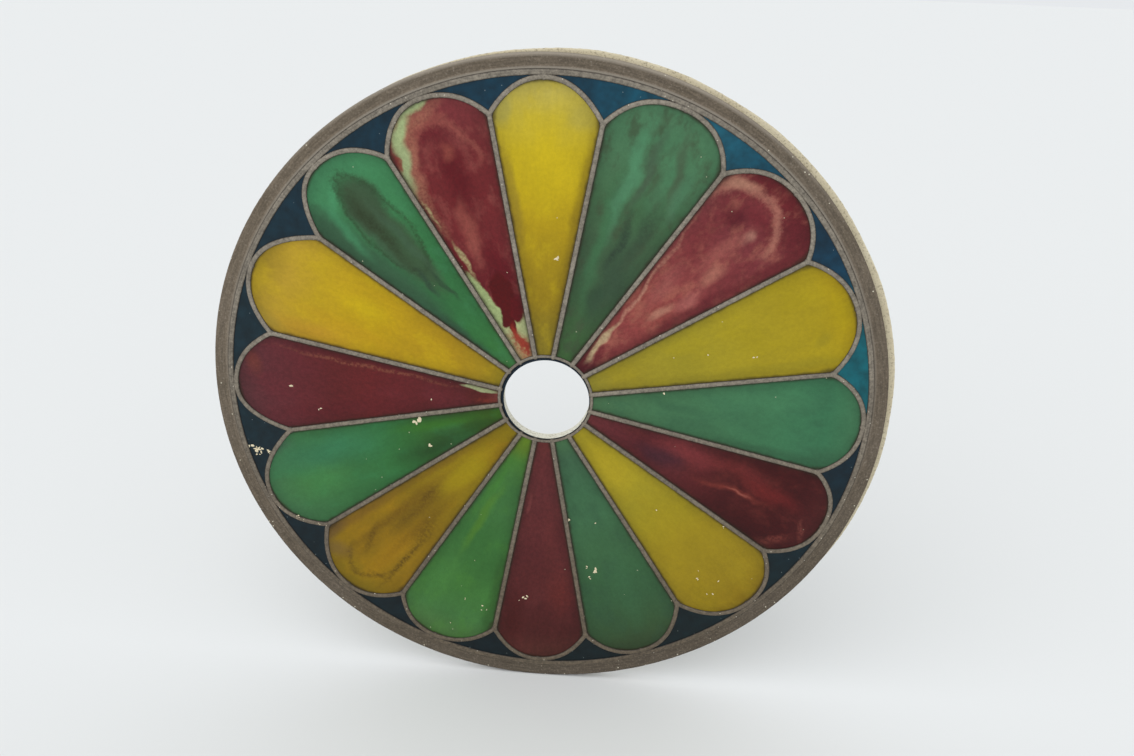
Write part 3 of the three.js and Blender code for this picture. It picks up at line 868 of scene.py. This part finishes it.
        toned("#8A4A3A #7A3A34 #5E2226 #65272B #6C2D2F #6A2B2D #6C2D2F #6E3234 #77373A"), 9,
        ("#884944", 0.5, 18),
        [blot("#581F24", 4, 338, 17, 50, 0, 0.8, 0.8), blot("#5E2228", -16, 400, 24, 14, 0, 0.6, 0.8),
         blot("#5A1F24", 8, 192, 14, 50, 0, 0.65, 0.8), blot("#96544A", -8, 258, 8, 36, 8, 0.6, 0.9),
         blot("#8E4C42", 6, 374, 8, 12, 0, 0.6, 0.8), loop("#96564C", 0, 350, 42, 62, 8, 330, 0.5),
         blot("#8E5A4A", -50, 318, 8, 62, -11, 0.75, 0.6, 0.55),
         blot("#6E252A", -37, 226, 6, 40, -12, 0.85, 0.4),
         blot("#A4705A", -44, 374, 9, 48, 12, 0.6, 0.8, 0.3),
         blot("#A4705A", -16, 420, 9, 34, 62, 0.55, 0.8, 0.3),
         blot("#A0AE7E", -56, 378, 9, 46, 6, 0.95, 0.6), blot("#A2B07E", -44, 411, 9, 24, 45, 1.0, 0.5),
         blot("#A2B07E", -14, 438, 7, 28, 70, 1.0, 0.45),
         blot("#863C34", -66, 380, 3, 12, -12, 0.8, 0.5, 0.3),
         blot("#AA9E72", -48, 300, 2.2, 18, -11, 0.8, 0.6, 0.5),
         blot("#AA9E72", -30, 226, 3, 24, -8, 0.9, 0.5, 0.4),
         blot("#9FAE78", -24, 152, 11, 54, -12, 1.0, 0.18), blot("#A6AC7C", 0, 92, 28, 46, 0, 1.0, 0.16),
         blot("#541920", 1, 160, 14, 34, -3, 1.0, 0.14), blot("#541920", -4, 135, 11, 17, 0, 1.0, 0.14),
         blot("#5A1C22", 11, 138, 8, 18, 0, 1.0, 0.16), blot("#581A20", 1, 116, 5, 13, 0, 1.0, 0.25),
         blot("#B08C62", 0, 76, 24, 14, 0, 0.8, 0.8), blot("#8A3228", 0, 94, 3.4, 24, 0, 0.95, 0.5),
         blot("#963E32", -1, 86, 9, 22, 0, 0.9, 0.8, 0.6)],
    ),
}


# How far the edges of stains fray, as a share of their size, and how far apart the petals' clouds
# are cut from one pattern (mm)
FRAY = 0.36
CLOUDS_APART = 37.0


def under_sheen(hex_colour, sheen=0.0125):
    """The glass's own colour, where the hex is what the eye sees with the room's sheen over it."""
    return [max(channel - sheen, 0.0012) for channel in linear(hex_colour)[:3]] + [1.0]


def tinted_along(add, share, tints):
    """The colour along a ramp of tints: (share of the way, colour)."""
    ramp = add("ValToRGB", share)
    stops = ramp.color_ramp.elements
    while len(stops) < len(tints):
        stops.new(0.5)
    for stop, (place, colour) in zip(stops, tints):
        stop.position = place
    for stop, (place, colour) in zip(stops, tints):
        stop.color = colour
    return ramp


def from_edge(add, petal, across, out):
    """How far a point of a petal's plane is from its lead, in mm: the least of its distances from the
    two straight leads and from the arch."""

    def turned_in(point):
        """A point of the window in the petal's own plane."""
        return Matrix.Rotation(math.radians(petal_middle(petal)), 2) @ point

    left_top, right_top = turned_in(shoulder(petal - 1)), turned_in(shoulder(petal))
    distances = []
    for foot, top, side in (
        (turned_in(lead_foot(petal - 1)), left_top, 1), (turned_in(lead_foot(petal)), right_top, -1),
    ):
        along = (top - foot).normalized()
        inward = Vector((along.y, -along.x)) * side
        reach = add("VectorMath", add("CombineXYZ", across, out), (*inward, 0), operation="DOT_PRODUCT")
        distances.append(add("SUBTRACT", reach, inward.dot(foot)))
    centre = (left_top + right_top) / 2
    wide, tall = (right_top - left_top).length / 2, ARCH_TIP - centre.y
    arch = add(
        "CombineXYZ", add("DIVIDE", add("SUBTRACT", across, centre.x), wide),
        add("DIVIDE", add("MAXIMUM", add("SUBTRACT", out, centre.y), 0.0), tall),
    )
    inside = add("SUBTRACT", 1.0, add("VectorMath", arch, operation="LENGTH"))
    return add("MINIMUM", add("MINIMUM", *distances), add("MULTIPLY", inside, tall))


def opal_glass(petal, name, tones, wander, clouded, stains):
    """Opal glass: worked colour under a satin surface. Its sheen is broad and soft, its face gently
    uneven, and its rim is darkened along the lead by painted shade with a little grime."""
    colour_name = name.split("_")[2]
    material, add = bare_material(f"{colour_name}_opal_glass_{petal + 1:02d}")

    # The petal's own plane in mm: X across it, clockwise, and Y out from the hub
    turned = add(
        "Mapping", add("TexCoord").outputs["Object"], Rotation=(0, -math.radians(petal_middle(petal)), 0),
        Scale=(1 / MM, 1 / MM, 1 / MM),
    )
    parts = add("SeparateXYZ", turned).outputs
    across, out = parts["X"], parts["Z"]
    plane = add("CombineXYZ", across, out, CLOUDS_APART * petal)

    def clouds(size, detail=2.0, stretch=1.0, strength=0.5):
        """Noise with features of a size in mm, drawn out along the petal by stretch."""
        drawn = add("Mapping", plane, Scale=(1, 1 / stretch, 1))
        return add("TexNoise", drawn, Scale=1 / size, Detail=detail, Roughness=strength)

    def wandering(base, size, amount):
        """A place in the plane moved about by clouds."""
        push = add("VectorMath", clouds(size).outputs["Color"], (0.5, 0.5, 0.5), operation="SUBTRACT")
        push = add("VectorMath", push, (2 * amount, 2 * amount, 0), operation="MULTIPLY")
        return add("VectorMath", base, push, operation="ADD")

    stirred = wandering(wandering(add("CombineXYZ", across, out), 46, 1.6 * wander), 12, 0.3 * wander)
    flowing = add("SeparateXYZ", stirred).outputs["Y"]
    colour = tinted_along(
        add, add("DIVIDE", flowing, TONED_OUT),
        [(distance / TONED_OUT, under_sheen(tone)) for distance, tone in tones],
    )
    cloud_colour, cloud_strength, cloud_size = clouded
    drift = add("MapRange", clouds(cloud_size, 4.0, 1.7, 0.62), 0.46, 0.68, 0.0, cloud_strength, **EASED)
    colour = add("Mix", drift, colour, under_sheen(cloud_colour), **COLOURS)

    grit = clouds(4.2)
    fray = add("MULTIPLY", add("SUBTRACT", clouds(5.0, 4.0, 1.2, 0.8), 0.5), FRAY)
    for stain in stains:
        oval = add(
            "Mapping", stirred, Location=(*stain["place"], 0), Scale=(*stain["half"], 1),
            Rotation=(0, 0, -math.radians(stain["lean"])), vector_type="TEXTURE",
        )
        reach = add("ADD", add("VectorMath", oval, operation="LENGTH"), fray)
        if stain["line"]:
            off = add("MULTIPLY", add("ABSOLUTE", add("SUBTRACT", reach, 1.0)), stain["half"][0])
            share = add("MapRange", off, stain["line"], 0.0, **EASED)
            above = add("MapRange", out, stain["above"], stain["above"] + 30, **EASED)
            share = add("MULTIPLY", share, above)
        else:
            share = add("MapRange", reach, 1 + stain["soft"], 1 - stain["soft"], **EASED)
        if stain["dotted"]:
            dots = add("MapRange", grit, 0.38, 0.58, 1 - stain["dotted"], **EASED)
            share = add("MULTIPLY", share, dots)
        share = add("MULTIPLY", share, stain["strength"])
        colour = add("Mix", share, colour, under_sheen(stain["colour"]), **COLOURS)

    # Drawn streaks, a fine mottle and broad patches over everything, each as much lighter as darker
    speckled = 0.16 if colour_name == "burgundy" else 0.07
    tone = 1.0
    for pattern, swing in (
        (clouds(9, 3.0, 8.0), 0.015), (clouds(5.0, 4.0, 1.3, 0.8), speckled), (clouds(34, 2.0, 1.6), 0.04),
    ):
        tone = add("MULTIPLY", tone, add("MapRange", pattern, 0.3, 0.7, 1 - swing, 1 + swing, **EASED))

    # Painted shade along the lead, which stands proud of the glass, and a dark line of painted shade
    # and grime right beside it
    waver = add("MULTIPLY", add("SUBTRACT", clouds(12), 0.5), 4.0)
    edge = add("ADD", from_edge(add, petal, across, out), waver)
    for reach, dark, light in ((24.0, 0.8, 1.02), (9.0, 0.7, 1.0)):
        tone = add("MULTIPLY", tone, add("MapRange", edge, 3.0, reach, dark, light, **EASED))
    colour = add("VectorMath", colour, tone, **TONED)
    lead_shade_and_grime = add("MapRange", edge, 7.5, 3.0, 0.0, 0.6, **EASED)
    colour = add("Mix", lead_shade_and_grime, colour, under_sheen("#383026"), **COLOURS)

    # Stray dust: a pale speck here and there
    dust = add("MULTIPLY", crumbs(add, plane, 1 / 17, size=0.05, chance=0.8), 0.55)
    colour = add("Mix", dust, colour, "#C8C6A8", **COLOURS)

    satin = add("MapRange", clouds(22, 3.0), 0.3, 0.7, 0.34, 0.5, **EASED)
    waves = add("ADD", clouds(38, 1.0, 1.8), add("MULTIPLY", clouds(3.0), 0.06))
    return finished(
        material, add, colour, waves, 0.5, 2.0 * MM, Roughness=satin, Specular_IOR_Level=0.2, IOR=1.5
    )


for petal, (name, recipe) in enumerate(PETAL_GLASS.items()):
    glass = opal_glass(petal, name, *recipe)
    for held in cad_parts[name].material_slots:
        held.material = glass


# --- The border panes: dark blue cathedral glass between the arches and the outer bead. Its colour
# --- runs from near black on the left and at the bottom to teal at the upper right: painted light
# --- shining through from behind on the upper right, and painted shade on the left and at the bottom.

# Clockwise from the bottom, by the angle from the top in degrees: painted teal where light shines
# through from behind, painted near black where the glass lies in shade
BORDER_TINTS_AND_BACKLIGHT = [
    (-170, "#232A2D"), (-124, "#242C30"), (-79, "#273339"), (-34, "#213540"), (-11, "#213A48"),
    (5, "#213E4D"), (16, "#254E5F"), (26, "#2A5A6A"), (40, "#24495A"), (52, "#1F3644"), (62, "#1F3E50"),
    (70, "#1F5862"), (86, "#1F5E66"), (96, "#212F37"), (130, "#242D30"), (165, "#252B2D"),
]


def cathedral_glass():
    """Rolled cathedral glass, near black in reflected light: smooth, glossier than the petals, with
    faint drawn ripples, and painted teal where light shines through it from behind."""
    material, add = bare_material("dark_blue_cathedral_glass")
    place = add("TexCoord").outputs["Object"]
    parts = add("SeparateXYZ", place).outputs
    around = add("MapRange", add("ARCTAN2", parts["X"], parts["Z"]), -math.pi, math.pi)
    # The tints round the ring paint light shining through on the upper right and shade on the left
    colour = tinted_along(
        add, around, [((degrees + 180) / 360, under_sheen(tint, 0.0165)) for degrees, tint in BORDER_TINTS_AND_BACKLIGHT]
    )
    ripple = add("TexNoise", place, Scale=1 / (16 * MM), Detail=3.0)
    colour = add("VectorMath", colour, add("MapRange", ripple, 0.3, 0.7, 0.7, 1.35), **TONED)
    dust = add("MULTIPLY", crumbs(add, place, 1 / (8 * MM), size=0.07, chance=0.6), 0.6)
    colour = add("Mix", dust, colour, "#9AA6A6", **COLOURS)
    return finished(
        material, add, colour, ripple, 0.4, 0.8 * MM, Roughness=0.3, Specular_IOR_Level=0.25, IOR=1.5
    )


border_glass = cathedral_glass()
for number in range(1, PETAL_COUNT + 1):
    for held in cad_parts[f"border_{number:02d}"].material_slots:
        held.material = border_glass


# --- The litter of the yard: flecks of straw and crumbs of plaster that lie on the panes and the lead,
# --- most of them near the right and the foot of the window. Each is a thin, uneven chip.

# How high the panes and the lead are where a fleck lies on them
GLASS = 17.5
LEAD = 19.4

# Where they lie: the petal whose plane they are measured in, mm across and out, how many chips, how
# far they scatter and how long they are (mm), and what they lie on
FLECKS = [
    (0, 15, 207, 3, 1.0, 8, GLASS), (3, 27, 298, 2, 1.6, 5, GLASS), (3, 4, 237, 1, 0, 3, GLASS),
    (3, -6, 191, 1, 0, 3, GLASS), (3, 40, 164, 2, 0.8, 4, LEAD), (6, 27, 400, 2, 1.4, 4, GLASS),
    (6, 30, 394, 1, 1, 4, GLASS), (6, 5, 388, 1, 0, 4, GLASS), (6, 29, 367, 2, 1.6, 4.5, GLASS),
    (6, 16, 355, 1, 0, 2.6, GLASS), (6, -3, 237, 2, 1.2, 4, GLASS), (6, -61, 320, 2, 1, 3, LEAD),
    (7, 26, 289, 4, 2.6, 7, GLASS), (7, 38, 298, 2, 1.6, 3.6, GLASS), (7, 35, 280, 2, 1.4, 4, GLASS),
    (7, -2, 211, 1, 0, 3, GLASS), (7, 33, 193, 2, 1, 3.6, GLASS), (8, 25, 334, 3, 2, 6, GLASS),
    (8, 33, 340, 1, 0, 4, GLASS), (8, -40, 192, 1, 0, 3.6, LEAD), (9, -46, 372, 3, 4, 4, GLASS),
    (9, -15, 361, 2, 1, 3.6, GLASS), (9, -10, 414, 1, 0, 3, GLASS), (9, -4, 292, 1, 0, 2.4, GLASS),
    (11, -14, 187, 3, 1.6, 7, GLASS), (11, 29, 193, 3, 1.8, 8, GLASS), (11, 30, 184, 3, 1.6, 7.5, GLASS),
    (11, 64, 430, 14, 5, 6, GLASS), (11, 58, 417, 8, 3, 5.5, GLASS), (11, -56, 422, 5, 4, 3.6, LEAD),
    (11, -76, 399, 2, 1.5, 4, LEAD), (12, -5, 366, 2, 2, 5, GLASS), (12, -37, 325, 2, 1.4, 4, GLASS),
    (12, -11, 163, 1, 0, 4, GLASS), (15, 18, 192, 1, 0, 2.4, GLASS),
]


def chip(shape, place, length, turn, height, draw):
    """A thin chip with an uneven outline: a sliver lying at a turn, with its top tilted."""
    sides = 7
    slim = draw.uniform(0.35, 0.7)
    rings = [[], []]
    for side in range(sides):
        angle = math.tau * side / sides
        reach = draw.uniform(0.8, 1.1) * length / 2
        spot = Matrix.Rotation(turn, 2) @ Vector((math.cos(angle) * reach, math.sin(angle) * reach * slim))
        lift = draw.uniform(0.25, 0.55)
        for ring, level, spread in ((rings[0], 0, 1.0), (rings[1], lift, 0.8)):
            corner = (place + spot * spread) * MM
            ring.append(shape.verts.new((corner.x, corner.y, (height + level) * MM)))
    shape.faces.new(rings[0][::-1])
    shape.faces.new(rings[1])
    for side in range(sides):
        after = (side + 1) % sides
        shape.faces.new((rings[0][side], rings[0][after], rings[1][after], rings[1][side]))


def dry_straw():
    """Dry straw and plaster dust: matt, pale cream, browner in places."""
    material, add = bare_material("dry_straw_and_plaster")
    cloud = add("TexNoise", add("TexCoord").outputs["Object"], Scale=1 / (3 * MM), Detail=2.0)
    colour = add("Mix", cloud, "#C2AE84", "#F2E9CE", **COLOURS)
    return finished(material, add, colour, Roughness=0.9, Specular_IOR_Level=0.2)


def scatter_flecks():
    draw = random.Random(12)
    shape = bmesh.new()
    for petal, across, out, count, scatter, length, height in FLECKS:
        centre = Matrix.Rotation(-math.radians(petal_middle(petal)), 2) @ Vector((across, out))
        for _ in range(count):
            place = centre + Vector((draw.gauss(0, scatter), draw.gauss(0, scatter)))
            chip(shape, place, length * draw.uniform(0.55, 1.1), draw.uniform(0, math.pi), height, draw)
    flecks = bpy.data.meshes.new("straw_flecks")
    shape.to_mesh(flecks)
    shape.free()
    piece_of("straw_flecks", flecks, dry_straw(), [])


scatter_flecks()
